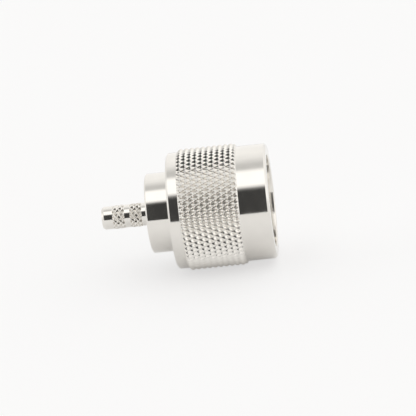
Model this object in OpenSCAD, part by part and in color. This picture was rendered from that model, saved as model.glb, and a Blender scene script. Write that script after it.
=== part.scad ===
// N series coaxial plug for crimping onto a thin cable, 50 ohm.
// Frame: the axis lies along X. The origin is on the axis at the reference plane, which is
// the front end of the outer contact. The mouth faces +X and the cable leaves towards -X.
// Every length named ..._x is a place on that axis, in millimetres from the reference plane.

/* [Coupling nut] */
// Nominal diameter of the coupling thread, 5/8 inch
thread_major_d = 15.875; // [15.5:0.025:16.25]
// Diameter inside the crests of the coupling thread
thread_minor_d = 14.86; // [14.6:0.02:15.0]
// Length of full thread in the nut
thread_l = 8.2; // [6:0.1:8.6]
// Length of the plain counterbore in the mouth
mouth_l = 1.6; // [1:0.1:1.7]
// Clearance of that counterbore over the thread's diameter, on the radius
mouth_clear = 0.06; // [0.03:0.01:0.15]
// How far the nut stands ahead of the reference plane
nut_lead = 1.8; // [1.75:0.05:2.5]
// Length of the whole nut
nut_l = 17.2; // [16.8:0.1:20]
// How far the plain ring at the nut's front lies under the knurl's tips, on the radius
front_ring_drop = 0.55; // [0.45:0.05:0.8]
// Length of the plain ring at the nut's front
front_ring_l = 5.1; // [4:0.1:7]
// How far the plain ring at the nut's rear lies under the knurl's tips, on the radius
rear_ring_drop = 0.45; // [0.45:0.05:0.8]
// Length of the plain ring at the nut's rear
rear_ring_l = 1.85; // [1.5:0.05:3]
// Length of the shoulder at the nut's rear that turns on the shell
lip_l = 3.5; // [3.2:0.1:4]
// Bevel on the nut's front edge
front_bevel = 0.35; // [0.1:0.05:0.6]
// Bevel on the nut's rear edge
rear_bevel = 0.3; // [0.1:0.05:0.6]

/* [Nut knurl] */
// Diameter over the tips of the diamonds
knurl_d = 21.0; // [20.8:0.1:23]
// Number of grooves of each hand round the nut
knurl_n = 64; // [40:1:64]
// Depth of the grooves
knurl_depth = 0.42; // [0.3:0.02:0.42]
// Rows of diamonds from the knurl's front end to its rear end, where the last one is cut short
knurl_rows = 10.65; // [8.65:1:12.65]

/* [Shell] */
// Diameter of the shell
shell_d = 13.8; // [13.4:0.1:14.2]
// Length of the shell that shows behind the nut
shell_tail_l = 4.1; // [2:0.1:8]
// Distance from the reference plane back to the face that carries the gasket
gasket_seat = 10.5; // [10.2:0.1:10.8]
// Running clearance of the nut's shoulder on the shell, on the radius
run_clear = 0.08; // [0.03:0.01:0.1]
// Bevel on the shell's rear edge
shell_bevel = 0.25; // [0.1:0.05:0.5]
// Clearance of parts that are pressed together or trapped, on the radius and end to end
seat_clear = 0.02; // [0.01:0.01:0.04]

/* [Crimp stem] */
// Outer diameter of the stem that goes under the cable's braid
stem_d = 4.0; // [3.8:0.05:4.4]
// Bore of the stem and shell, which takes the cable's dielectric
cable_bore_d = 3.1; // [3.08:0.02:3.2]
// Length of the stem
stem_l = 8.2; // [7.7:0.1:10]
// Length of the bevel round the stem's tip
stem_bevel_l = 0.4; // [0.1:0.05:0.5]
// Height of that bevel
stem_bevel_h = 0.24; // [0.1:0.02:0.28]
// Number of ridges of each hand round the stem
grip_n = 12; // [10:1:16]
// Depth of the pits between the ridges
grip_depth = 0.2; // [0.1:0.01:0.2]
// How far the ridges stand out of the stem
grip_rise = 0.05; // [0.03:0.01:0.1]
// Length of each of the two knurled bands
grip_l = 2.1; // [1.8:0.1:2.2]
// Plain length between the stem's tip and the first band
grip_tip_gap = 1.88; // [1.2:0.02:1.9]
// Plain length between the two bands
grip_gap = 0.92; // [0.6:0.02:1.0]

/* [Outer contact] */
// Outer diameter of the slotted end
outer_contact_d = 8.0; // [7.9:0.05:8.1]
// Inner diameter of the outer contact
outer_contact_bore = 7.0; // [6.8:0.05:7.1]
// Length of the full-diameter land at its front
land_l = 1.8; // [1:0.1:2.5]
// Depth that the springy fingers are turned down to behind the land
finger_relief = 0.2; // [0.16:0.02:0.3]
// Number of slots
slot_n = 4; // [3:1:6]
// Width of each slot
slot_w = 0.4; // [0.2:0.05:0.6]
// Length of each slot
slot_l = 5.0; // [3:0.1:7]
// Diameter of the collar that is pressed into the shell
collar_d = 9.4; // [8.8:0.1:10]
// Length of that collar
collar_l = 3.0; // [2:0.1:3.4]

/* [Insulator] */
// Diameter of the insulator inside the shell
bead_d = 8.6; // [8.0:0.1:8.7]
// Length of the insulator inside the shell
bead_l = 4.0; // [3.5:0.1:4.4]
// Distance from the reference plane back to the insulator's front face
insulator_face = 6.0; // [5.8:0.1:8]

/* [Centre contact] */
// Diameter of the pin's tip
pin_d = 1.65; // [1.6:0.01:1.68]
// Distance from the reference plane back to the pin's end
pin_end = 0.4; // [0.2:0.1:1.5]
// Distance from the reference plane back to the pin's shoulder
pin_shoulder = 5.3; // [5:0.05:5.6]
// Diameter of the contact behind the shoulder
contact_d = 2.5; // [2.3:0.05:2.6]
// Length of the cup that takes the cable's inner conductor
cup_l = 3.9; // [3:0.1:4]
// Outer diameter of that cup
cup_d = 2.2; // [1.8:0.05:2.2]
// Bore of that cup
cup_bore = 1.0; // [0.9:0.05:1.2]
// Diameter of the sight hole in the cup's side
sight_d = 0.7; // [0.5:0.05:0.8]
// Height of the barb that holds the contact in the insulator
barb_h = 0.1; // [0.05:0.01:0.15]

/* [Gasket] */
// Inner diameter of the gasket
gasket_bore = 8.2; // [8.16:0.02:8.6]
// How far the gasket's outer edge stays inside the shell's, on the radius
gasket_inset = 0.2; // [0.15:0.05:0.8]
// Thickness of the gasket
gasket_t = 1.4; // [0.8:0.1:1.4]

/* [Retaining ring] */
// Width of the ring along the axis
ring_w = 1.0; // [0.6:0.1:1.1]
// Thickness of the ring along the radius
ring_t = 0.9; // [0.8:0.05:0.95]
// Depth of the nut's groove that holds the ring
nut_groove_h = 0.45; // [0.3:0.05:0.5]
// Clearance between the ring and its grooves
ring_clear = 0.05; // [0.03:0.01:0.08]
// Gap where the ring is split
ring_split = 1.2; // [0.5:0.1:3]
// Distance that the nut can slide on the shell
nut_float = 0.4; // [0.2:0.05:0.45]

/* [Hidden] */
round_fn = 96;

// the nut, from its front to its rear
nut_front_x = nut_lead;
nut_rear_x = nut_front_x - nut_l;
mouth_end_x = nut_front_x - mouth_l;
knurl_tip_r = knurl_d / 2;
knurl_valley_r = knurl_tip_r - knurl_depth;
front_ring_r = knurl_tip_r - front_ring_drop;
rear_ring_r = knurl_tip_r - rear_ring_drop;
knurl_front_x = nut_front_x - front_ring_l;
knurl_rear_x = nut_rear_x + rear_ring_l;
lip_front_x = nut_rear_x + lip_l;
mouth_r = thread_major_d / 2 + mouth_clear;
thread_lead = mouth_r - thread_minor_d / 2;
thread_end_x = mouth_end_x - 2 * thread_lead - thread_l;
nut_bore_r = shell_d / 2 + run_clear;
edge_break = 0.15;

// the shell, from its front to its rear
shell_front_x = -gasket_seat;
shell_rear_x = nut_rear_x - shell_tail_l;
stem_tip_x = shell_rear_x - stem_l;
collar_end_x = shell_front_x - collar_l;
bead_end_x = collar_end_x - bead_l - seat_clear;
stem_fillet = 0.2;

// the retaining ring and its two grooves
ring_outer_r = nut_bore_r + nut_groove_h - 2 * ring_clear;
ring_inner_r = ring_outer_r - ring_t;
groove_rear_x = (nut_rear_x + lip_front_x) / 2 - (ring_w + nut_float) / 2;
ring_rear_x = groove_rear_x + ring_clear;
ring_front_x = ring_rear_x + ring_w;
groove_front_x = ring_front_x + nut_float + ring_clear;

// the knurls: how far they and the turned core under them reach into each other
knurl_bite = 0.2;
band_bite = 0.04;
shoulder_bite = 0.05;
ring_lift = 0.02;
knurl_core_r = min(front_ring_r, rear_ring_r) - knurl_bite;
knurl_bore_r = knurl_core_r - knurl_bite;
// a step between two neighbouring tips, so that the nut lies on a pair of them
knurl_turn = 90 / knurl_n;

// the outer contact: full thickness between the slots' ends and the fingers' relief
slot_end_gap = 0.6;

// the centre contact, from its tip to its rear
pin_taper_l = 0.9;
pin_nose = 0.55;
barb_x = shell_front_x - collar_l / 2;
barb_l = 0.8;
cup_front_x = bead_end_x + edge_break + cup_l;
cup_floor = 0.4;
sight_place = 0.6;

// Turns a shape that stands along Z so that it lies along X.
module along_x() {
    rotate([0, 90, 0]) children();
}

// A turned solid from an outline of [radius, place on the axis] points.
module turned(outline) {
    rotate_extrude($fn = round_fn) polygon(outline);
}

// Points of a quarter round from angle a0 to a1, centred at [r, x].
function quarter(r, x, radius, a0, a1, steps = 5) =
    [for (i = [0:steps]) let (a = a0 + (a1 - a0) * i / steps) [r + radius * cos(a), x + radius * sin(a)]];

// One ring of a knurl: high and low points by turns round the axis. shift says which comes first,
// and each kind of point has its own radius and its own place on the axis.
function knurl_ring(n, shift, high, low, turn) =
    [for (i = [0:2 * n - 1])
        let (a = 180 * i / n + turn, p = (i + shift) % 2 == 0 ? high : low)
            [p[0] * cos(a), p[0] * sin(a), p[1]]];

// The two triangles of each cell between rings j and j + 1, split from low point to low point
// where valleys is true, and from high point to high point where it is not.
function knurl_cells(n, j, valleys) =
    [for (i = [0:2 * n - 1])
        let (
            k = (i + 1) % (2 * n),
            a = j * 2 * n + i, b = j * 2 * n + k,
            c = (j + 1) * 2 * n + k, d = (j + 1) * 2 * n + i,
            across = (i + j + (valleys ? 1 : 0)) % 2 == 0
        )
            each across ? [[a, c, b], [a, d, c]] : [[a, d, b], [b, d, c]]];

// A diamond knurl as a sleeve. rings holds one [high, low] pair of [radius, place] points for
// each ring, from low to high places, and bore_r is the sleeve's plain inside.
module knurled_sleeve(n, rings, bore_r, turn, valleys) {
    last = len(rings) - 1;
    outside = [for (j = [0:last]) each knurl_ring(n, j, rings[j][0], rings[j][1], turn)];
    bore = [for (j = [0, last])
        each knurl_ring(n, j, [bore_r, rings[j][0][1]], [bore_r, rings[j][1][1]], turn)];
    cells = [for (j = [0:last - 1]) each knurl_cells(n, j, valleys)];
    first_bore = (last + 1) * 2 * n;
    ends = [for (i = [0:2 * n - 1])
        let (
            k = (i + 1) % (2 * n),
            low_i = first_bore + i, low_k = first_bore + k,
            top_i = first_bore + 2 * n + i, top_k = first_bore + 2 * n + k,
            rim_i = last * 2 * n + i, rim_k = last * 2 * n + k
        )
            each [
                [i, k, low_k], [i, low_k, low_i],
                [rim_i, top_k, rim_k], [rim_i, top_i, top_k],
                [low_i, low_k, top_k], [low_i, top_k, top_i]
            ]];
    polyhedron(points = concat(outside, bore), faces = concat(cells, ends), convexity = 6);
}

// How far from the knurl's end a bevel at 45 degrees, which starts there at start_r, meets a slope
// that starts there at radius r and rises by slope for each millimetre.
function bevel_cut(start_r, r, slope) = (r - start_r) / (1 - slope);

// One end of the nut's knurl as two rings: the end itself, and the bevel's cut through the
// diamonds. Places on the axis run from x in the direction into the knurl, which is 1 or -1, and
// share says how much of a row lies between that end and the first full row.
function knurl_end(start_r, x, into, slope, share) =
    let (
        missing = knurl_depth * (1 - share),
        at_tip = bevel_cut(start_r, knurl_tip_r - missing, -slope),
        at_valley = bevel_cut(start_r, knurl_valley_r + missing, slope)
    )
        [
            [[start_r, x], [start_r, x]],
            [[start_r + at_tip, x + into * at_tip], [start_r + at_valley, x + into * at_valley]]
        ];

// The knurl of the coupling nut: diamonds that stand out, trimmed by a bevel at each end.
module nut_knurl() {
    step = (knurl_front_x - knurl_rear_x) / knurl_rows;
    slope = knurl_depth / step;
    full_rows = ceil(knurl_rows) - 1;
    rear = knurl_end(rear_ring_r + ring_lift, knurl_rear_x, 1, slope, knurl_rows - full_rows);
    front = knurl_end(front_ring_r + ring_lift, knurl_front_x, -1, slope, 1);
    rings = concat(
        rear,
        [for (j = [full_rows:-1:1])
            let (x = knurl_front_x - j * step) [[knurl_tip_r, x], [knurl_valley_r, x]]],
        [front[1], front[0]]
    );
    knurled_sleeve(knurl_n, rings, knurl_bore_r, knurl_turn, true);
}

// One knurled band of the stem: sunken diamonds between thin ridges.
module stem_band(rear_x) {
    ridge_r = stem_d / 2 + grip_rise;
    pit_r = stem_d / 2 - grip_depth;
    edge_r = stem_d / 2 + grip_rise / 4;
    fade = grip_l / 14;
    rows = 5;
    step = (grip_l - 2 * fade) / (rows - 1);
    rings = concat(
        [[[edge_r, rear_x], [edge_r, rear_x]]],
        [for (j = [0:rows - 1])
            let (x = rear_x + fade + j * step) [[ridge_r, x], [pit_r, x]]],
        [[[edge_r, rear_x + grip_l], [edge_r, rear_x + grip_l]]]
    );
    knurled_sleeve(grip_n, rings, pit_r - 2 * band_bite, 0, false);
}

module coupling_nut() {
    relief_r = mouth_r;
    groove_r = nut_bore_r + nut_groove_h;
    outside = [
        [nut_bore_r + edge_break, nut_rear_x],
        [rear_ring_r - rear_bevel, nut_rear_x],
        [rear_ring_r, nut_rear_x + rear_bevel],
        [rear_ring_r, knurl_rear_x + shoulder_bite],
        [knurl_core_r, knurl_rear_x + shoulder_bite],
        [knurl_core_r, knurl_front_x - shoulder_bite],
        [front_ring_r, knurl_front_x - shoulder_bite],
        [front_ring_r, nut_front_x - front_bevel],
        [front_ring_r - front_bevel, nut_front_x]
    ];
    inside = [
        [mouth_r + edge_break, nut_front_x],
        [mouth_r, nut_front_x - edge_break],
        [mouth_r, mouth_end_x],
        [thread_minor_d / 2, mouth_end_x - thread_lead],
        [thread_minor_d / 2, thread_end_x + thread_lead],
        [relief_r, thread_end_x],
        [relief_r, lip_front_x],
        [nut_bore_r, lip_front_x],
        [nut_bore_r, ring_front_x + ring_clear],
        [groove_r, ring_front_x + ring_clear],
        [groove_r, ring_rear_x - ring_clear],
        [nut_bore_r, ring_rear_x - ring_clear],
        [nut_bore_r, nut_rear_x + edge_break]
    ];
    color([0.80, 0.78, 0.74]) along_x() union() {
        turned(concat(outside, inside));
        nut_knurl();
    }
}

module body_shell() {
    shell_r = shell_d / 2;
    stem_r = stem_d / 2;
    groove_r = ring_inner_r - ring_clear;
    core_r = stem_r - grip_depth - band_bite;
    band_1_x = stem_tip_x + grip_tip_gap;
    band_2_x = band_1_x + grip_l + grip_gap;
    bite = band_bite / 2;
    outside = concat(
        [
            [cable_bore_d / 2 + edge_break / 2, stem_tip_x],
            [stem_r - stem_bevel_h, stem_tip_x],
            [stem_r, stem_tip_x + stem_bevel_l],
            [stem_r, band_1_x + bite],
            [core_r, band_1_x + bite],
            [core_r, band_1_x + grip_l - bite],
            [stem_r, band_1_x + grip_l - bite],
            [stem_r, band_2_x + bite],
            [core_r, band_2_x + bite],
            [core_r, band_2_x + grip_l - bite],
            [stem_r, band_2_x + grip_l - bite]
        ],
        quarter(stem_r + stem_fillet, shell_rear_x - stem_fillet, stem_fillet, 180, 90),
        [
            [shell_r - shell_bevel, shell_rear_x],
            [shell_r, shell_rear_x + shell_bevel],
            [shell_r, groove_rear_x],
            [groove_r, groove_rear_x],
            [groove_r, groove_front_x],
            [shell_r, groove_front_x],
            [shell_r, shell_front_x - edge_break],
            [shell_r - edge_break, shell_front_x]
        ]
    );
    inside = [
        [collar_d / 2 + seat_clear, shell_front_x],
        [collar_d / 2 + seat_clear, collar_end_x],
        [bead_d / 2 + seat_clear, collar_end_x],
        [bead_d / 2 + seat_clear, bead_end_x],
        [cable_bore_d / 2, bead_end_x],
        [cable_bore_d / 2, stem_tip_x + edge_break / 2]
    ];
    color([0.80, 0.78, 0.74]) along_x() union() {
        turned(concat(outside, inside));
        stem_band(band_1_x);
        stem_band(band_2_x);
    }
}

module outer_contact() {
    land_r = outer_contact_d / 2;
    finger_r = land_r - finger_relief;
    bore_r = outer_contact_bore / 2;
    finger_end_x = -slot_l - slot_end_gap;
    color([0.82, 0.80, 0.76]) along_x() difference() {
        turned([
            [bore_r, collar_end_x],
            [collar_d / 2 - edge_break, collar_end_x],
            [collar_d / 2, collar_end_x + edge_break],
            [collar_d / 2, shell_front_x],
            [land_r, shell_front_x],
            [land_r, finger_end_x],
            [finger_r, finger_end_x + 2 * finger_relief],
            [finger_r, -land_l - finger_relief],
            [land_r, -land_l],
            [land_r, -edge_break],
            [land_r - edge_break, 0],
            [bore_r + edge_break, 0],
            [bore_r, -edge_break]
        ]);
        for (i = [0:slot_n - 1])
            rotate([0, 0, 45 + 360 * i / slot_n])
                translate([0, -slot_w / 2, -slot_l])
                    cube([land_r + 1, slot_w, slot_l + 1]);
    }
}

module insulator() {
    front_r = outer_contact_bore / 2 - seat_clear;
    bore_r = contact_d / 2 + seat_clear;
    color([0.95, 0.95, 0.94]) along_x() turned([
        [bore_r, -insulator_face],
        [front_r - edge_break, -insulator_face],
        [front_r, -insulator_face - edge_break],
        [front_r, collar_end_x - seat_clear],
        [bead_d / 2, collar_end_x - seat_clear],
        [bead_d / 2, bead_end_x + seat_clear],
        [bore_r, bead_end_x + seat_clear],
        [bore_r, barb_x - barb_l - seat_clear],
        [bore_r + barb_h, barb_x - barb_l - seat_clear],
        [bore_r, barb_x]
    ]);
}

module centre_contact() {
    pin_r = pin_d / 2;
    body_r = contact_d / 2;
    cup_r = cup_d / 2;
    bore_r = cup_bore / 2;
    rear_x = cup_front_x - cup_l;
    nose_r = pin_r * pin_nose;
    color([0.86, 0.70, 0.36]) along_x() difference() {
        turned(concat(
            [
                [0, cup_front_x - cup_floor],
                [bore_r, cup_front_x - cup_floor - bore_r],
                [bore_r, rear_x],
                [cup_r, rear_x],
                [cup_r, cup_front_x],
                [body_r, cup_front_x],
                [body_r, barb_x - barb_l],
                [body_r + barb_h, barb_x - barb_l],
                [body_r, barb_x],
                [body_r, -pin_shoulder - edge_break],
                [body_r - edge_break, -pin_shoulder],
                [pin_r, -pin_shoulder],
                [pin_r, -pin_end - pin_taper_l]
            ],
            quarter(0, -pin_end - nose_r, nose_r, 20, 90)
        ));
        translate([0, 0, rear_x + cup_l * sight_place])
            rotate([0, 90, 90]) cylinder(h = cup_r + 1, d = sight_d, $fn = 24);
    }
}

module gasket() {
    round_r = 0.25;
    inner_r = gasket_bore / 2;
    outer_r = shell_d / 2 - gasket_inset;
    front_x = shell_front_x + gasket_t;
    color([0.90, 0.89, 0.86]) along_x() turned(concat(
        [[inner_r, shell_front_x], [outer_r, shell_front_x]],
        quarter(outer_r - round_r, front_x - round_r, round_r, 0, 90),
        quarter(inner_r + round_r, front_x - round_r, round_r, 90, 180)
    ));
}

module retaining_ring() {
    color([0.70, 0.70, 0.70]) along_x() difference() {
        turned([
            [ring_inner_r, ring_rear_x],
            [ring_outer_r, ring_rear_x],
            [ring_outer_r, ring_front_x],
            [ring_inner_r, ring_front_x]
        ]);
        translate([0, -ring_split / 2, ring_rear_x - 1])
            cube([ring_outer_r + 1, ring_split, ring_w + 2]);
    }
}

coupling_nut();
body_shell();
outer_contact();
insulator();
centre_contact();
gasket();
retaining_ring();
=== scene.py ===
"""Dresses the coaxial plug: turned and knurled meshes, plated metals, and a pale studio."""

import math

import bmesh
import bpy
import numpy as np
from mathutils import Matrix, Vector


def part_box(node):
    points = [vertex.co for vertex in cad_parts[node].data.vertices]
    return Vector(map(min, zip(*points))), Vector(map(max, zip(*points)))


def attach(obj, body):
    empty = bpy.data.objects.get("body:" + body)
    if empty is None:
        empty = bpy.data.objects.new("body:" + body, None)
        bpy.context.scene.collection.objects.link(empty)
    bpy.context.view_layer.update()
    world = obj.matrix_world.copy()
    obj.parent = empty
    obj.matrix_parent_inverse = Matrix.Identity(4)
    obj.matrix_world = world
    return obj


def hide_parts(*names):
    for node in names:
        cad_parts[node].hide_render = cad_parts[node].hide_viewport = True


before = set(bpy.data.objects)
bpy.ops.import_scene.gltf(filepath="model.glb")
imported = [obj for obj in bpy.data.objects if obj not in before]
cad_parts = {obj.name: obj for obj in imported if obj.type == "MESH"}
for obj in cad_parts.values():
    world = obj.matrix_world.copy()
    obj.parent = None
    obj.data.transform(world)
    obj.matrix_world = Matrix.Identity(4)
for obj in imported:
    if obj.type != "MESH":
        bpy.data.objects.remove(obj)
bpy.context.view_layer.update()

MM = 0.001

# ---- Sizes, in millimetres -------------------------------------------------------------------


def box_mm(node):
    """A CAD node's lowest and highest corner in millimetres."""
    low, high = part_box(node)
    return np.array(low) / MM, np.array(high) / MM


NUT_LOW, NUT_HIGH = box_mm("coupling_nut")
SHELL_LOW = box_mm("body_shell")[0]
CONTACT_LOW = box_mm("outer_contact")[0]
BEAD_LOW, BEAD_HIGH = box_mm("insulator")
PIN_LOW, PIN_HIGH = box_mm("centre_contact")
GASKET_LOW, GASKET_HIGH = box_mm("gasket")
RING_LOW, RING_HIGH = box_mm("retaining_ring")

# The coupling nut
KNURL_R = 10.5 - 0.004            # the tips stay inside the CAD model's box
KNURL_STARTS = 64
KNURL_ROW = 0.9625                # from one row of tips to the next
KNURL_DEPTH = 0.5
KNURL_LIFT = 0.15                 # how far the shallow grooves stop short, as a share of the depth
KNURL_ROUND = 0.2                 # how round tips and groove bottoms are, as a share of a groove
KNURL_BLUR = 0.08                 # how softly crossing grooves meet, as a share of the depth
KNURL_BEVEL = 0.46                # how far down the bevel at each end of the knurl starts
FRONT_RING_R, FRONT_RING_L = 9.95, 5.1
REAR_RING_R, REAR_RING_L = 10.05, 1.85
FRONT_BEVEL, REAR_BEVEL, INNER_BEVEL = 0.35, 0.3, 0.15
MOUTH_R, MOUTH_L = 7.9975, 1.6
THREAD_MINOR_R, THREAD_MAJOR_R = 7.43, 7.95
THREAD_L, THREAD_PITCH = 8.2, 25.4 / 24
THREAD_STEEPNESS = 1.25           # of the flanks, with 1 for a thread without flat roots
THREAD_CREST = 0.1                # what the flat crests take off, as a share of the height
THREAD_RUNOUT = 0.3               # over which the thread fades out at each end
THREAD_ROWS = 14                  # rings for each turn
LIP_L = 3.5
NUT_BORE_R = 6.98
NUT_GROOVE_R = 7.43
NUT_ROUND = 0.05                  # how round the nut's inner edges are

# The retaining ring, and how it moves
RING_H, RING_GAP = 0.9, 1.2
RING_PLAY = 0.05                  # from the ring to each side of its groove
NUT_FLOAT = 0.4                   # how far the ring travels with the nut

# The shell and its stem
SHELL_R, SHELL_FRONT_X = 6.9, -10.5
SHELL_REAR_BEVEL, SHELL_FRONT_BEVEL = 0.25, 0.15
SHELL_GROOVE_R = 6.35
CONTACT_SEAT_R, BEAD_SEAT_R = 4.72, 4.32
SEAT_GAP = 0.02                   # between the insulator and what it is pressed against
STEM_R, CABLE_BORE_R = 2.0, 1.55
STEM_L = 8.2
STEM_BEVEL_L, STEM_BEVEL_H = 0.4, 0.24
STEM_BORE_BEVEL = 0.075
GRIP_STARTS, GRIP_ROWS = 12, 5
GRIP_L, GRIP_TIP_GAP, GRIP_GAP = 2.1, 1.88, 0.92
GRIP_RISE, GRIP_DEPTH = 0.05, 0.26
GRIP_RIDGE = 0.14                 # how much of the way from a ridge to a pit's middle is rounded
GRIP_FADE = GRIP_L / 14           # over which a band starts and ends
GRIP_MARGIN = 0.02                # from a band to the plain ring of points beside it
GRIP_STEPS = 12                   # segments and rings for half a pit

NUT_FRONT_X, NUT_REAR_X = NUT_HIGH[0], NUT_LOW[0]
KNURL_FRONT_X = NUT_FRONT_X - FRONT_RING_L
KNURL_REAR_X = NUT_REAR_X + REAR_RING_L
STEM_TIP_X = SHELL_LOW[0]
SHELL_REAR_X = STEM_TIP_X + STEM_L
FLOOR_Z = NUT_LOW[2]

COARSE = 256                      # segments round a plain turned surface
FINE = 3 * COARSE                 # segments round the knurl, 12 for each start
STEM_COUNT = 2 * GRIP_STARTS * GRIP_STEPS   # segments round the shell and its stem

# ---- Turned and knurled meshes ------------------------------------------------------------------


def rounded(outline, radius, steps=4, closed=True):
    """Rounds the corners of an outline of (r, x) points.

    The radius is one number, or one for each point. The ends of an open outline stay as they are.
    """
    straight, least, share = 1.55, 1e-4, 0.45
    points = np.array(outline, float)
    count = len(points)
    radii = np.broadcast_to(radius, count)
    result = []
    for i, corner in enumerate(points):
        if not closed and i in (0, count - 1):
            result.append(corner)
            continue
        to_last = points[i - 1] - corner
        to_next = points[(i + 1) % count] - corner
        len_last, len_next = np.linalg.norm(to_last), np.linalg.norm(to_next)
        to_last, to_next = to_last / len_last, to_next / len_next
        half = math.acos(np.clip(to_last @ to_next, -1, 1)) / 2
        reach = radii[i] / math.tan(half) if half < straight else 0
        reach = min(reach, share * len_last, share * len_next)
        if reach < least:
            result.append(corner)
            continue
        start, end = corner + to_last * reach, corner + to_next * reach
        for k in range(steps + 1):
            t = k / steps
            result.append((1 - t) ** 2 * start + 2 * t * (1 - t) * corner + t * t * end)
    return np.array(result)


def ring_of(r, x, count):
    """One ring of points round the axis. r and x are numbers or one value for each point."""
    turn = np.arange(count) * 2 * math.pi / count
    r, x = np.broadcast_to(r, count), np.broadcast_to(x, count)
    return np.stack([x, r * np.sin(turn), -r * np.cos(turn)], axis=1)


def quads_between(first, second, count):
    """Quads that join two rings of equal count, whose points start at first and second."""
    return [
        (first + i, first + (i + 1) % count, second + (i + 1) % count, second + i)
        for i in range(count)
    ]


class Lathe:
    """Collects rings along a surface and joins each one to the one before it."""

    def __init__(self):
        self.points, self.faces, self.rings = [], [], []
        self.size = 0

    def ring(self, r, x, count=COARSE, split=None):
        """Adds a ring.

        split says for each cell to the last ring which diagonal cuts it, and None keeps quads.
        """
        start = self.size
        self.points.append(ring_of(r, x, count))
        self.size += count
        if self.rings:
            self._join(self.rings[-1], (start, count), split)
        self.rings.append((start, count))

    def _join(self, last, new, split):
        (a, na), (b, nb) = last, new
        if na == nb and split is None:
            self.faces += quads_between(a, b, na)
        elif na == nb:
            for i in range(na):
                k = (i + 1) % na
                if split[i]:
                    self.faces += [(a + i, a + k, b + k), (a + i, b + k, b + i)]
                else:
                    self.faces += [(a + i, a + k, b + i), (a + k, b + k, b + i)]
        elif na > nb:
            self._fan(a, na, b, nb, False)
        else:
            self._fan(b, nb, a, na, True)

    def _fan(self, fine, nf, coarse, nc, flip):
        """Joins a fine ring to a coarse one that has a whole share of its points."""
        share = nf // nc
        for j in range(nc):
            near, far = coarse + j, coarse + (j + 1) % nc
            for s in range(share):
                i, k = fine + j * share + s, fine + (j * share + s + 1) % nf
                face = (i, k, near if s < share // 2 + 1 else far)
                self.faces.append(face[::-1] if flip else face)
                if s == share // 2:
                    face = (k, far, near)
                    self.faces.append(face[::-1] if flip else face)

    def close(self):
        """Joins the last ring to the first."""
        self._join(self.rings[-1], self.rings[0], None)

    def object(self, name, sharp_deg=35):
        mesh = bpy.data.meshes.new(name)
        mesh.from_pydata((np.concatenate(self.points) * MM).tolist(), [], self.faces)
        return finished(name, mesh, sharp_deg)


def finished(name, mesh, sharp_deg):
    """An object from a mesh, with normals turned outwards and smooth shading up to an angle."""
    work = bmesh.new()
    work.from_mesh(mesh)
    bmesh.ops.recalc_face_normals(work, faces=work.faces)
    work.to_mesh(mesh)
    work.free()
    mesh.polygons.foreach_set("use_smooth", [True] * len(mesh.polygons))
    mesh.set_sharp_from_angle(angle=math.radians(sharp_deg))
    piece = bpy.data.objects.new(name, mesh)
    bpy.context.scene.collection.objects.link(piece)
    return piece


def turned(name, outline, count=COARSE, sharp_deg=35):
    """A turned piece from a closed outline of (r, x) points."""
    lathe = Lathe()
    for r, x in outline:
        lathe.ring(r, x, count)
    lathe.close()
    return lathe.object(name, sharp_deg)


def solid_turned(name, outline, count):
    """A turned piece whose outline starts and ends on the axis."""
    lathe = Lathe()
    for r, x in outline[1:-1]:
        lathe.ring(r, x, count)
    for (r, x), (start, n) in ((outline[0], lathe.rings[0]), (outline[-1], lathe.rings[-1])):
        tip = lathe.size
        lathe.points.append(np.array([[x, 0, 0]]))
        lathe.size += 1
        lathe.faces += [(start + i, start + (i + 1) % n, tip) for i in range(n)]
    return lathe.object(name)


def cut(piece, cutter):
    """Takes the cutter out of the piece for good, and deletes the cutter."""
    change = piece.modifiers.new("cut", "BOOLEAN")
    change.operation = "DIFFERENCE"
    change.solver = "EXACT"
    change.object = cutter
    bpy.context.view_layer.update()
    graph = bpy.context.evaluated_depsgraph_get()
    mesh = bpy.data.meshes.new_from_object(piece.evaluated_get(graph))
    piece.modifiers.clear()
    old, piece.data = piece.data, mesh
    bpy.data.meshes.remove(old)
    bpy.data.objects.remove(cutter)
    mesh.set_sharp_from_angle(angle=math.radians(30))
    return piece


def block(low, high, turn=0.0):
    """A plain block for cutting, from its corners in millimetres, turned about X."""
    corners = [
        (x, y, z) for x in (low[0], high[0]) for y in (low[1], high[1]) for z in (low[2], high[2])
    ]
    faces = [(0, 1, 3, 2), (4, 6, 7, 5), (0, 4, 5, 1), (2, 3, 7, 6), (0, 2, 6, 4), (1, 5, 7, 3)]
    mesh = bpy.data.meshes.new("cutter")
    mesh.from_pydata([Vector(c) * MM for c in corners], [], faces)
    mesh.transform(Matrix.Rotation(turn, 4, "X"))
    cutter = bpy.data.objects.new("cutter", mesh)
    bpy.context.scene.collection.objects.link(cutter)
    return cutter


# ---- The coupling nut -------------------------------------------------------------------------


def groove_distance(t):
    """0 on a groove of a family of grooves one unit apart, 1 half way between two."""
    return 2 * np.abs(np.mod(t + 0.5, 1) - 0.5)


def groove_families(around, along):
    """Distances to the grooves that run one way, and to those that cross them."""
    return groove_distance((around + along) / 2), groove_distance((around - along) / 2)


def soft_distance(distance, width):
    """Rounds a distance from 0 to 1 off at both ends, within width of each, and keeps 0 and 1."""
    low, high = np.minimum(distance, width), np.minimum(1 - distance, width)
    lift = (width - low) ** 2 / (2 * width)
    drop = (width - high) ** 2 / (2 * width)
    return (distance + lift - drop - width / 2) / (1 - width)


def soft_minimum(first, second, blur):
    """The lower of two heights, blended where they are within about blur of each other."""
    return -blur * np.logaddexp(-first / blur, -second / blur)


def soft_ridge(distance, width):
    """Rounds off a ridge at distance 0, within width of it, and leaves 0 and 1 where they are."""
    near = np.minimum(distance, width)
    return (distance - near + near**2 / (2 * width)) / (1 - width / 2)


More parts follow.
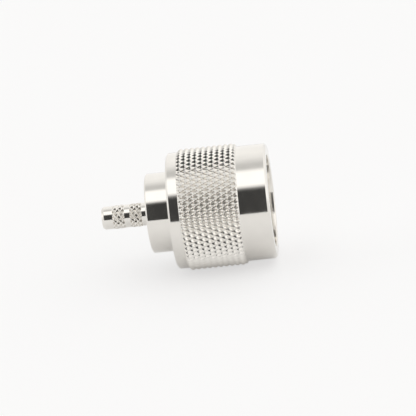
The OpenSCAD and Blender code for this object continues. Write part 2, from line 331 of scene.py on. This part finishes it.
def nut_knurl_rings(lathe):
    """The diamonds of the nut, from its rear end to its front end, trimmed by a bevel at each.

    One family of grooves is less deep than the other, so the ridges between the deep ones run on
    as lines, as on a nut rolled with two wheels. The tips are rounded. Rows are counted from the
    front end, and the last one at the rear is cut short.
    """
    per_cell = FINE // (2 * KNURL_STARTS)
    rows = (KNURL_FRONT_X - KNURL_REAR_X) / KNURL_ROW
    full_rows = math.floor(rows)
    around = np.arange(FINE) / per_cell + 0.5
    half_step = 0.5 / per_cell
    first = full_rows - rows
    steps = range(math.ceil(first * per_cell), full_rows * per_cell + 1)
    for along in [first] + [k / per_cell for k in steps]:
        families = groove_families(around, along)
        shallow, deep = [soft_distance(family, KNURL_ROUND) for family in families]
        shallow = KNURL_LIFT + (1 - KNURL_LIFT) * shallow
        height = soft_minimum(shallow, deep, KNURL_BLUR) + KNURL_BLUR * math.log(2)
        x = KNURL_FRONT_X - (full_rows - along) * KNURL_ROW
        from_end = min(x - KNURL_REAR_X, KNURL_FRONT_X - x)
        r = KNURL_R - KNURL_DEPTH * (1 - height)
        r = np.minimum(r, KNURL_R - KNURL_BEVEL + from_end)
        shallow, deep = groove_families(around + half_step, along - half_step)
        lathe.ring(r, x, FINE, split=deep < shallow)


def nut_outline_front():
    """Front ring and mouth, from the knurl's front end into the counterbore."""
    outer, x = FRONT_RING_R, NUT_FRONT_X
    corners = [
        (outer, KNURL_FRONT_X),
        (outer, x - FRONT_BEVEL),
        (outer - FRONT_BEVEL, x),
        (MOUTH_R + INNER_BEVEL, x),
        (MOUTH_R, x - INNER_BEVEL),
        (MOUTH_R, x - MOUTH_L),
        (THREAD_MINOR_R, x - MOUTH_L - (MOUTH_R - THREAD_MINOR_R)),
    ]
    return rounded(corners, [0, 0.08, 0.08] + [NUT_ROUND] * 4, closed=False)


def nut_outline_rear():
    """Relief, lip, ring groove and rear ring, from the thread's rear end to the knurl's."""
    x = NUT_REAR_X
    lip_x = x + LIP_L
    lead = MOUTH_R - THREAD_MINOR_R
    thread_end = NUT_FRONT_X - MOUTH_L - lead - THREAD_L
    corners = [
        (THREAD_MINOR_R, thread_end),
        (MOUTH_R, thread_end - lead),
        (MOUTH_R, lip_x),
        (NUT_BORE_R, lip_x),
        (NUT_BORE_R, RING_HIGH[0] + RING_PLAY),
        (NUT_GROOVE_R, RING_HIGH[0] + RING_PLAY),
        (NUT_GROOVE_R, RING_LOW[0] - RING_PLAY),
        (NUT_BORE_R, RING_LOW[0] - RING_PLAY),
        (NUT_BORE_R, x + INNER_BEVEL),
        (NUT_BORE_R + INNER_BEVEL, x),
        (REAR_RING_R - REAR_BEVEL, x),
        (REAR_RING_R, x + REAR_BEVEL),
        (REAR_RING_R, KNURL_REAR_X),
    ]
    return rounded(corners, [0] + [NUT_ROUND] * 11 + [0], closed=False)


def nut_thread_rings(lathe, start_x, end_x):
    """The coupling thread, right-handed, from its front end to its rear end."""
    rows = round((start_x - end_x) / THREAD_PITCH * THREAD_ROWS)
    around = np.arange(COARSE) / COARSE
    for j in range(1, rows):
        x = start_x + (end_x - start_x) * j / rows
        phase = np.mod(x / THREAD_PITCH - around, 1)
        wave = (0.5 - np.abs(phase - 0.5)) * 2
        wave = np.clip(wave * THREAD_STEEPNESS - THREAD_CREST, 0, 1)
        fade = min(1, (start_x - x) / THREAD_RUNOUT, (x - end_x) / THREAD_RUNOUT)
        lathe.ring(THREAD_MINOR_R + (THREAD_MAJOR_R - THREAD_MINOR_R) * wave * fade, x)


def make_nut():
    """The coupling nut: knurl, front ring, mouth, thread, relief, lip and rear ring."""
    lathe = Lathe()
    nut_knurl_rings(lathe)
    front = nut_outline_front()
    rear = nut_outline_rear()
    for r, x in front:
        lathe.ring(r, x)
    nut_thread_rings(lathe, front[-1][1], rear[0][1])
    for r, x in rear:
        lathe.ring(r, x)
    lathe.close()
    return lathe.object("nut_detail", sharp_deg=28)


# ---- The other turned pieces ------------------------------------------------------------------


def grip_rings(lathe, rear_x):
    """One knurled band of the stem: four-sided pits between thin ridges."""
    row = (GRIP_L - 2 * GRIP_FADE) / (GRIP_ROWS - 1)
    rings = round(GRIP_L / row * GRIP_STEPS)
    around = np.arange(STEM_COUNT) / GRIP_STEPS
    half_step = 0.5 / GRIP_STEPS
    for j in range(rings + 1):
        x = rear_x + GRIP_L * j / rings
        along = (x - rear_x - GRIP_FADE) / row
        pit = np.minimum(*groove_families(around, along))
        edge = np.clip(min(x - rear_x, rear_x + GRIP_L - x) / GRIP_FADE, 0, 1)
        rising, falling = groove_families(around + half_step, along - half_step)
        height = GRIP_RISE - (GRIP_RISE + GRIP_DEPTH) * soft_ridge(pit, GRIP_RIDGE)
        lathe.ring(STEM_R + edge * height, x, STEM_COUNT, split=falling < rising)


def make_shell():
    """The shell and its stem, from the bore near the stem's tip round the outside and back."""
    lathe = Lathe()
    groove_low = RING_LOW[0] - RING_PLAY
    groove_high = RING_HIGH[0] + (NUT_FLOAT + RING_PLAY)
    collar_x, bead_x = CONTACT_LOW[0], BEAD_LOW[0] - SEAT_GAP
    band_1 = STEM_TIP_X + GRIP_TIP_GAP
    band_2 = band_1 + GRIP_L + GRIP_GAP
    loop_start, loop_end = STEM_TIP_X + 0.5, STEM_TIP_X + 0.6
    tip = rounded(
        [
            (CABLE_BORE_R, loop_start),
            (CABLE_BORE_R, STEM_TIP_X + STEM_BORE_BEVEL),
            (CABLE_BORE_R + STEM_BORE_BEVEL, STEM_TIP_X),
            (STEM_R - STEM_BEVEL_H, STEM_TIP_X),
            (STEM_R, STEM_TIP_X + STEM_BEVEL_L),
            (STEM_R, band_1 - GRIP_MARGIN),
        ],
        [0, 0.03, 0.03, 0.08, 0.15, 0],
        closed=False,
    )
    for r, x in tip:
        lathe.ring(r, x, STEM_COUNT)
    grip_rings(lathe, band_1)
    lathe.ring(STEM_R, band_1 + GRIP_L + GRIP_MARGIN, STEM_COUNT)
    lathe.ring(STEM_R, band_2 - GRIP_MARGIN, STEM_COUNT)
    grip_rings(lathe, band_2)
    body = rounded(
        [
            (STEM_R, band_2 + GRIP_L + GRIP_MARGIN),
            (STEM_R, SHELL_REAR_X),
            (SHELL_R - SHELL_REAR_BEVEL, SHELL_REAR_X),
            (SHELL_R, SHELL_REAR_X + SHELL_REAR_BEVEL),
            (SHELL_R, groove_low),
            (SHELL_GROOVE_R, groove_low),
            (SHELL_GROOVE_R, groove_high),
            (SHELL_R, groove_high),
            (SHELL_R, SHELL_FRONT_X - SHELL_FRONT_BEVEL),
            (SHELL_R - SHELL_FRONT_BEVEL, SHELL_FRONT_X),
            (CONTACT_SEAT_R, SHELL_FRONT_X),
            (CONTACT_SEAT_R, collar_x),
            (BEAD_SEAT_R, collar_x),
            (BEAD_SEAT_R, bead_x),
            (CABLE_BORE_R, bead_x),
            (CABLE_BORE_R, loop_end),
        ],
        [0, 0.15, 0.06, 0.06] + [0.04] * 4 + [0.05] * 2 + [0.04] * 5 + [0],
        closed=False,
    )
    for r, x in body:
        lathe.ring(r, x, STEM_COUNT)
    lathe.close()
    return lathe.object("shell_detail", sharp_deg=30)


def make_outer_contact():
    """The outer contact: a flange, a tube with a thinner waist, and four slots from the front."""
    front_r, waist_r, bore_r, flange_r, bevel = 4.0, 3.8, 3.5, 4.7, 0.15
    waist_rear_x, waist_front_x = -5.2, -2.0
    rear_slope, front_slope = 0.4, 0.2
    slot_l, slot_w, slot_count = 5.0, 0.4, 4
    end_x = CONTACT_LOW[0]
    outline = rounded(
        [
            (bore_r, end_x),
            (flange_r - bevel, end_x),
            (flange_r, end_x + bevel),
            (flange_r, SHELL_FRONT_X),
            (front_r, SHELL_FRONT_X),
            (front_r, waist_rear_x - rear_slope),
            (waist_r, waist_rear_x),
            (waist_r, waist_front_x),
            (front_r, waist_front_x + front_slope),
            (front_r, -bevel),
            (front_r - bevel, 0),
            (bore_r + bevel, 0),
            (bore_r, -bevel),
        ],
        [0.03] * 5 + [0.1] * 3 + [0.06] * 5,
    )
    piece = turned("outer_contact_detail", outline)
    for k in range(slot_count):
        turn = math.radians(45 + 90 * k)
        cut(piece, block((-slot_l, -slot_w / 2, 2.0), (1.0, slot_w / 2, 6.0), turn))
    return piece


def make_insulator():
    """The insulator: a bead in the shell, and a longer part inside the outer contact."""
    bore_r, front_r, bead_r = 1.27, 3.48, 4.3
    face_x, step_x, end_x = BEAD_HIGH[0], CONTACT_LOW[0] - SEAT_GAP, BEAD_LOW[0]
    outline = rounded(
        [
            (bore_r, face_x),
            (front_r, face_x),
            (front_r, step_x),
            (bead_r, step_x),
            (bead_r, end_x),
            (bore_r, end_x),
        ],
        [0.04, 0.15, 0.05, 0.05, 0.05, 0.04],
    )
    return turned("insulator_detail", outline, 128)


def make_centre_contact():
    """The centre contact: a pin with a round nose, a barb, and a solder cup with a sight hole."""
    pin_r, body_r, cup_r, bore_r = 0.825, 1.25, 1.1, 0.5
    cup_l, bevel = 3.9, 0.05
    rear_x, cup_front = PIN_LOW[0], PIN_LOW[0] + cup_l
    drill_end_x, drill_l = cup_front - 0.4, 0.5
    barb_x, barb_l, barb_h = -12.8, 0.8, 0.1
    shoulder, shoulder_bevel = -5.3, 0.15
    tip_x, nose_r = PIN_HIGH[0], 0.45
    taper_x, taper_edge_l, taper_edge_h = tip_x - 0.86, 0.09, 0.02
    nose = [
        (nose_r * math.cos(math.radians(a)), tip_x - nose_r + nose_r * math.sin(math.radians(a)))
        for a in range(20, 90, 10)
    ]
    outline = [
        (0, drill_end_x),
        (bore_r, drill_end_x - drill_l),
        (bore_r, rear_x + bevel),
        (bore_r + bevel, rear_x),
        (cup_r - bevel, rear_x),
        (cup_r, rear_x + bevel),
        (cup_r, cup_front),
        (body_r, cup_front),
        (body_r, barb_x),
        (body_r + barb_h, barb_x),
        (body_r, barb_x + barb_l),
        (body_r, shoulder - shoulder_bevel),
        (body_r - shoulder_bevel, shoulder),
        (pin_r + bevel, shoulder),
        (pin_r, shoulder + bevel),
        (pin_r, taper_x - taper_edge_l),
        (pin_r - taper_edge_h, taper_x),
        *nose,
        (0, tip_x),
    ]
    piece = solid_turned("centre_contact_detail", outline, 96)

    sight_r, sight_x = 0.35, rear_x + 0.6 * cup_l
    around = [math.radians(a) for a in range(0, 360, 15)]
    rim = [
        (sight_x + sight_r * math.cos(a), y, sight_r * math.sin(a)) for y in (0, 2) for a in around
    ]
    n = len(around)
    faces = [(i, (i + 1) % n, n + (i + 1) % n, n + i) for i in range(n)]
    faces += [tuple(range(n)), tuple(range(n, 2 * n))]
    sight = bpy.data.meshes.new("sight")
    sight.from_pydata([Vector(p) * MM for p in rim], [], faces)
    return cut(piece, finished("cutter", sight, 30))


def make_gasket():
    """The gasket: a flat ring with a rounded front, which the jack's barrel presses."""
    inner_r, outer_r, rear_round, front_round = 4.1, 6.7, 0.05, 0.3
    low, high = GASKET_LOW[0], GASKET_HIGH[0]
    corners = [(inner_r, low), (outer_r, low), (outer_r, high), (inner_r, high)]
    outline = rounded(corners, [rear_round] * 2 + [front_round] * 2, steps=6)
    return turned("gasket_detail", outline, 192, 50)


def make_retaining_ring():
    """The retaining ring, with its gap at the bottom."""
    inner, outer = RING_HIGH[2] - RING_H, RING_HIGH[2]
    low, high = RING_LOW[0], RING_HIGH[0]
    outline = rounded([(inner, low), (outer, low), (outer, high), (inner, high)], 0.08)
    piece = turned("retaining_ring_detail", outline, 192)
    half = RING_GAP / 2
    return cut(piece, block((low - 1, -half, -9.0), (high + 1, half, -5.0)))


# ---- Materials --------------------------------------------------------------------------------

METAL_PATCHES = 420.0             # patches in the gloss, in waves to the metre
LATHE_LINES = 900.0               # lathe lines along the axis, in waves to the metre
LATHE_ACROSS = 90.0               # how they change across the axis


class Nodes:
    """Short names for adding and linking shader nodes."""

    def __init__(self, tree):
        self.tree = tree
        tree.nodes.clear()

    def add(self, kind, **values):
        node = self.tree.nodes.new(kind)
        for key, value in values.items():
            setattr(node, key, value)
        return node

    def link(self, source, target):
        self.tree.links.new(source, target)

    def math(self, operation, first, second=None, clamp=False):
        node = self.add("ShaderNodeMath", operation=operation, use_clamp=clamp)
        for k, value in enumerate((first, second)):
            if value is None:
                continue
            if isinstance(value, (int, float)):
                node.inputs[k].default_value = value
            else:
                self.link(value, node.inputs[k])
        return node.outputs[0]


def new_material(name):
    """An opaque material. Gives it, its nodes, its shader and the object's own coordinates."""
    material = bpy.data.materials.new(name)
    material.use_nodes = True
    n = Nodes(material.node_tree)
    out = n.add("ShaderNodeOutputMaterial")
    shader = n.add("ShaderNodeBsdfPrincipled")
    n.link(shader.outputs[0], out.inputs["Surface"])
    place = n.add("ShaderNodeTexCoord")
    return material, n, shader, place.outputs["Object"]


def noise(n, place, scale, detail):
    """Cloudy noise, scaled in waves to the metre."""
    node = n.add("ShaderNodeTexNoise", noise_dimensions="3D")
    node.inputs["Scale"].default_value = scale
    node.inputs["Detail"].default_value = detail
    n.link(place, node.inputs["Vector"])
    return node.outputs["Fac"]


def tinted(n, shader, factor, color, dark, light):
    """Gives the shader a colour that wanders from a bit darker to a bit lighter."""
    mix = n.add("ShaderNodeMix", data_type="RGBA")
    mix.inputs["A"].default_value = (*[c * dark for c in color], 1)
    mix.inputs["B"].default_value = (*[min(1, c * light) for c in color], 1)
    n.link(factor, mix.inputs["Factor"])
    n.link(mix.outputs["Result"], shader.inputs["Base Color"])


def bumped(n, shader, height, depth_mm):
    """Gives the shader a fine relief."""
    bump = n.add("ShaderNodeBump")
    bump.inputs["Strength"].default_value = 1.0
    bump.inputs["Distance"].default_value = depth_mm * MM
    n.link(height, bump.inputs["Height"])
    n.link(bump.outputs[0], shader.inputs["Normal"])


def plated_metal(name, color, roughness, bump_mm=0.004):
    """A turned and plated metal: lathe lines round the axis, and slight patches in the gloss."""
    material, n, shader, place = new_material(name)
    shader.inputs["Metallic"].default_value = 1.0
    patches = noise(n, place, METAL_PATCHES, 4.0)
    tinted(n, shader, patches, color, 0.95, 1.04)

    gloss = n.add("ShaderNodeMapRange")
    gloss.inputs["From Min"].default_value = 0.3
    gloss.inputs["From Max"].default_value = 0.7
    gloss.inputs["To Min"].default_value = roughness * 0.7
    gloss.inputs["To Max"].default_value = roughness * 1.35
    n.link(patches, gloss.inputs["Value"])
    n.link(gloss.outputs[0], shader.inputs["Roughness"])

    stretch = n.add("ShaderNodeMapping")
    stretch.inputs["Scale"].default_value = (LATHE_LINES, LATHE_ACROSS, LATHE_ACROSS)
    n.link(place, stretch.inputs["Vector"])
    bumped(n, shader, noise(n, stretch.outputs[0], 1.0, 5.0), bump_mm)
    return material


def soft_plastic(name, color, roughness, scatter, speckle):
    """PTFE or silicone: light scatters in it, and its surface is faintly uneven."""
    material, n, shader, place = new_material(name)
    shader.inputs["Roughness"].default_value = roughness
    shader.inputs["Subsurface Weight"].default_value = scatter
    shader.inputs["Subsurface Radius"].default_value = (1.0, 0.9, 0.8)
    shader.inputs["Subsurface Scale"].default_value = 0.6 * MM
    cloud = noise(n, place, speckle, 6.0)
    tinted(n, shader, cloud, color, 0.94, 1.03)
    bumped(n, shader, cloud, 0.006)
    return material


# ---- Studio -----------------------------------------------------------------------------------

CAMERA_AZIMUTH = math.radians(5.0)
CAMERA_ELEVATION = math.radians(17.0)
CAMERA_ROLL = math.radians(7.6)
CAMERA_LENS, CAMERA_SENSOR = 200.0, 36.0
VIEW_WIDTH = 71.8                 # what the frame spans at the plug, in millimetres
VIEW_CENTRE = (-9.34, 0.0, -0.14)


def make_camera():
    """The photo's view: from the side and a little above, turned about the line of sight."""
    back = Vector(
        (
            math.sin(CAMERA_AZIMUTH) * math.cos(CAMERA_ELEVATION),
            -math.cos(CAMERA_AZIMUTH) * math.cos(CAMERA_ELEVATION),
            math.sin(CAMERA_ELEVATION),
        )
    )
    distance = VIEW_WIDTH * MM / 2 / (CAMERA_SENSOR / 2 / CAMERA_LENS)
    data = bpy.data.cameras.new("camera")
    data.lens, data.sensor_width = CAMERA_LENS, CAMERA_SENSOR
    data.clip_start, data.clip_end = 0.01, 20.0
    camera = bpy.data.objects.new("camera", data)
    turn = back.to_track_quat("Z", "Y").to_matrix() @ Matrix.Rotation(-CAMERA_ROLL, 3, "Z")
    place = Vector(VIEW_CENTRE) * MM + back * distance
    camera.matrix_world = Matrix.Translation(place) @ turn.to_4x4()
    bpy.context.scene.collection.objects.link(camera)
    bpy.context.scene.camera = camera


# The studio as the plug mirrors it: brightness by angle about the plug's axis, from level in
# front, over the top, to level behind. The plain turned surfaces mirror the middle. The knurls
# also mirror the left, towards the cable, and the sides, which are far to the left or right.
STUDIO_MIDDLE = [
    (0, 0.055), (40, 0.055), (43, 0.13), (45.5, 0.32), (49, 0.95), (53, 1.35), (79, 1.35),
    (84, 1.15), (87.5, 0.80), (91, 0.69), (99, 0.70), (107, 0.85), (117, 1.02), (133, 1.12),
    (180, 1.08),
]
STUDIO_LEFT = [(0, 0.08), (62, 0.08), (74, 0.75), (95, 0.85), (180, 1.0)]
STUDIO_SIDES = [(0, 1.0), (40, 1.05), (60, 1.3), (90, 1.2), (180, 1.0)]
MIDDLE_BAND = (-0.28, 0.10)       # where the middle lies: the X part of a ray of length 1
LEFT_BAND = (-0.84, -0.50)        # where the left lies
BAND_BLUR = 0.04                  # how softly the bands end
BACKDROP_COLOR = (0.97, 0.97, 0.97, 1)
PAPER_COLOR = (0.93, 0.93, 0.93, 1)
WHITE_COLOR = (0.97, 0.965, 0.965, 1)
FLOOR_WHITE = 0.62                # how much of the floor is white without shadow to the camera
FLOOR_MIRRORED = 0.2              # the same for what the metal mirrors
FLOOR_NEAR, FLOOR_FAR, FLOOR_SIDE = -0.16, 3.0, 3.0   # the floor's reach, in metres


def studio_ramp(n, share, levels):
    """A colour ramp over the angle about the plug's axis, slightly warm all over."""
    ramp = n.add("ShaderNodeValToRGB")
    marks = ramp.color_ramp.elements
    for k, (degrees, level) in enumerate(levels):
        mark = marks[k] if k < 2 else marks.new(degrees / 180)
        mark.position = degrees / 180
        mark.color = (level, level * 0.995, level * 0.98, 1)
    n.link(share, ramp.inputs[0])
    return ramp.outputs["Color"]


def soft_step(n, value, start, end):
    """0 before start, 1 after end, and smooth between them."""
    step = n.add("ShaderNodeMapRange", interpolation_type="SMOOTHSTEP")
    step.inputs["From Min"].default_value = start
    step.inputs["From Max"].default_value = end
    n.link(value, step.inputs["Value"])
    return step.outputs[0]


def soft_band(n, value, band):
    """1 between the two ends of a band, and 0 outside."""
    low, high = band
    return n.math(
        "MINIMUM",
        soft_step(n, value, low - BAND_BLUR, low + BAND_BLUR),
        soft_step(n, value, high + BAND_BLUR, high - BAND_BLUR),
    )


def mixed(n, factor, first, second):
    """The first colour where the factor is 0, and the second where it is 1."""
    mix = n.add("ShaderNodeMix", data_type="RGBA")
    n.link(factor, mix.inputs["Factor"])
    n.link(first, mix.inputs["A"])
    n.link(second, mix.inputs["B"])
    return mix.outputs["Result"]


def make_world():
    """Lights and mirrors the studio's bands, and shows the camera a plain pale backdrop."""
    world = bpy.data.worlds.new("studio")
    world.use_nodes = True
    bpy.context.scene.world = world
    n = Nodes(world.node_tree)
    out = n.add("ShaderNodeOutputWorld")
    place = n.add("ShaderNodeTexCoord")
    split = n.add("ShaderNodeSeparateXYZ")
    n.link(place.outputs["Generated"], split.inputs[0])
    forward = n.math("MULTIPLY", split.outputs["Y"], -1.0)
    angle = n.math("ARCTAN2", split.outputs["Z"], forward)
    share = n.math("DIVIDE", angle, math.pi, clamp=True)
    across = split.outputs["X"]
    middle, left, sides = [
        studio_ramp(n, share, levels) for levels in (STUDIO_MIDDLE, STUDIO_LEFT, STUDIO_SIDES)
    ]
    color = mixed(n, soft_band(n, across, MIDDLE_BAND), sides, middle)
    color = mixed(n, soft_band(n, across, LEFT_BAND), color, left)
    path = n.add("ShaderNodeLightPath")
    seen = n.add("ShaderNodeBackground")
    seen.inputs["Color"].default_value = BACKDROP_COLOR
    mirrored = n.add("ShaderNodeBackground")
    n.link(color, mirrored.inputs["Color"])
    choose = n.add("ShaderNodeMixShader")
    n.link(path.outputs["Is Camera Ray"], choose.inputs["Fac"])
    n.link(mirrored.outputs[0], choose.inputs[1])
    n.link(seen.outputs[0], choose.inputs[2])
    n.link(choose.outputs[0], out.inputs["Surface"])


def make_floor():
    """A pale floor that keeps the plug's shadow, and is partly white of itself."""
    mesh = bpy.data.meshes.new("floor")
    near = [(-FLOOR_SIDE, FLOOR_NEAR), (FLOOR_SIDE, FLOOR_NEAR)]
    far = [(FLOOR_SIDE, FLOOR_FAR), (-FLOOR_SIDE, FLOOR_FAR)]
    mesh.from_pydata([(x, y, FLOOR_Z * MM) for x, y in near + far], [], [(0, 1, 2, 3)])
    floor = bpy.data.objects.new("floor", mesh)
    bpy.context.scene.collection.objects.link(floor)
    material = bpy.data.materials.new("floor")
    material.use_nodes = True
    n = Nodes(material.node_tree)
    out = n.add("ShaderNodeOutputMaterial")
    paper = n.add("ShaderNodeBsdfDiffuse")
    paper.inputs["Color"].default_value = PAPER_COLOR
    white = n.add("ShaderNodeEmission")
    white.inputs["Color"].default_value = WHITE_COLOR
    path = n.add("ShaderNodeLightPath")
    seen = n.math("MULTIPLY", path.outputs["Is Camera Ray"], FLOOR_WHITE)
    mirrored = n.math("MULTIPLY", path.outputs["Is Glossy Ray"], FLOOR_MIRRORED)
    share = n.math("ADD", seen, mirrored)
    mix = n.add("ShaderNodeMixShader")
    n.link(share, mix.inputs["Fac"])
    n.link(paper.outputs[0], mix.inputs[1])
    n.link(white.outputs[0], mix.inputs[2])
    n.link(mix.outputs[0], out.inputs["Surface"])
    mesh.materials.append(material)


# ---- Putting it together ------------------------------------------------------------------------

make_camera()
make_world()
make_floor()

NICKEL = (0.80, 0.775, 0.735)
nut_metal = plated_metal("nickel_plate_nut", NICKEL, 0.09)
shell_metal = plated_metal("nickel_plate_shell", NICKEL, 0.09)
contact_metal = plated_metal("nickel_plate_contact", (0.82, 0.80, 0.765), 0.11)
gold = plated_metal("gold_plate", (0.93, 0.70, 0.30), 0.14)
spring = plated_metal("spring_steel", (0.60, 0.59, 0.57), 0.28, bump_mm=0.006)
ptfe = soft_plastic("ptfe", (0.90, 0.90, 0.89), 0.42, 0.5, 900.0)
silicone = soft_plastic("silicone", (0.80, 0.78, 0.74), 0.50, 0.6, 700.0)

PIECES = [
    (make_nut, "coupling_nut", "nut", nut_metal, "nickel_plate_nut"),
    (make_shell, "body_shell", "plug_body", shell_metal, "nickel_plate_shell"),
    (make_outer_contact, "outer_contact", "plug_body", contact_metal, "nickel_plate_contact"),
    (make_insulator, "insulator", "plug_body", ptfe, "ptfe"),
    (make_centre_contact, "centre_contact", "plug_body", gold, "gold_plate"),
    (make_gasket, "gasket", "plug_body", silicone, "silicone"),
    (make_retaining_ring, "retaining_ring", "ring", spring, "spring_steel"),
]
for make, node, body, material, slot in PIECES:
    piece = make()
    piece.data.materials.clear()
    piece.data.materials.append(material)
    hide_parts(node)
    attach(piece, body)

bpy.context.scene.view_settings.view_transform = "Standard"
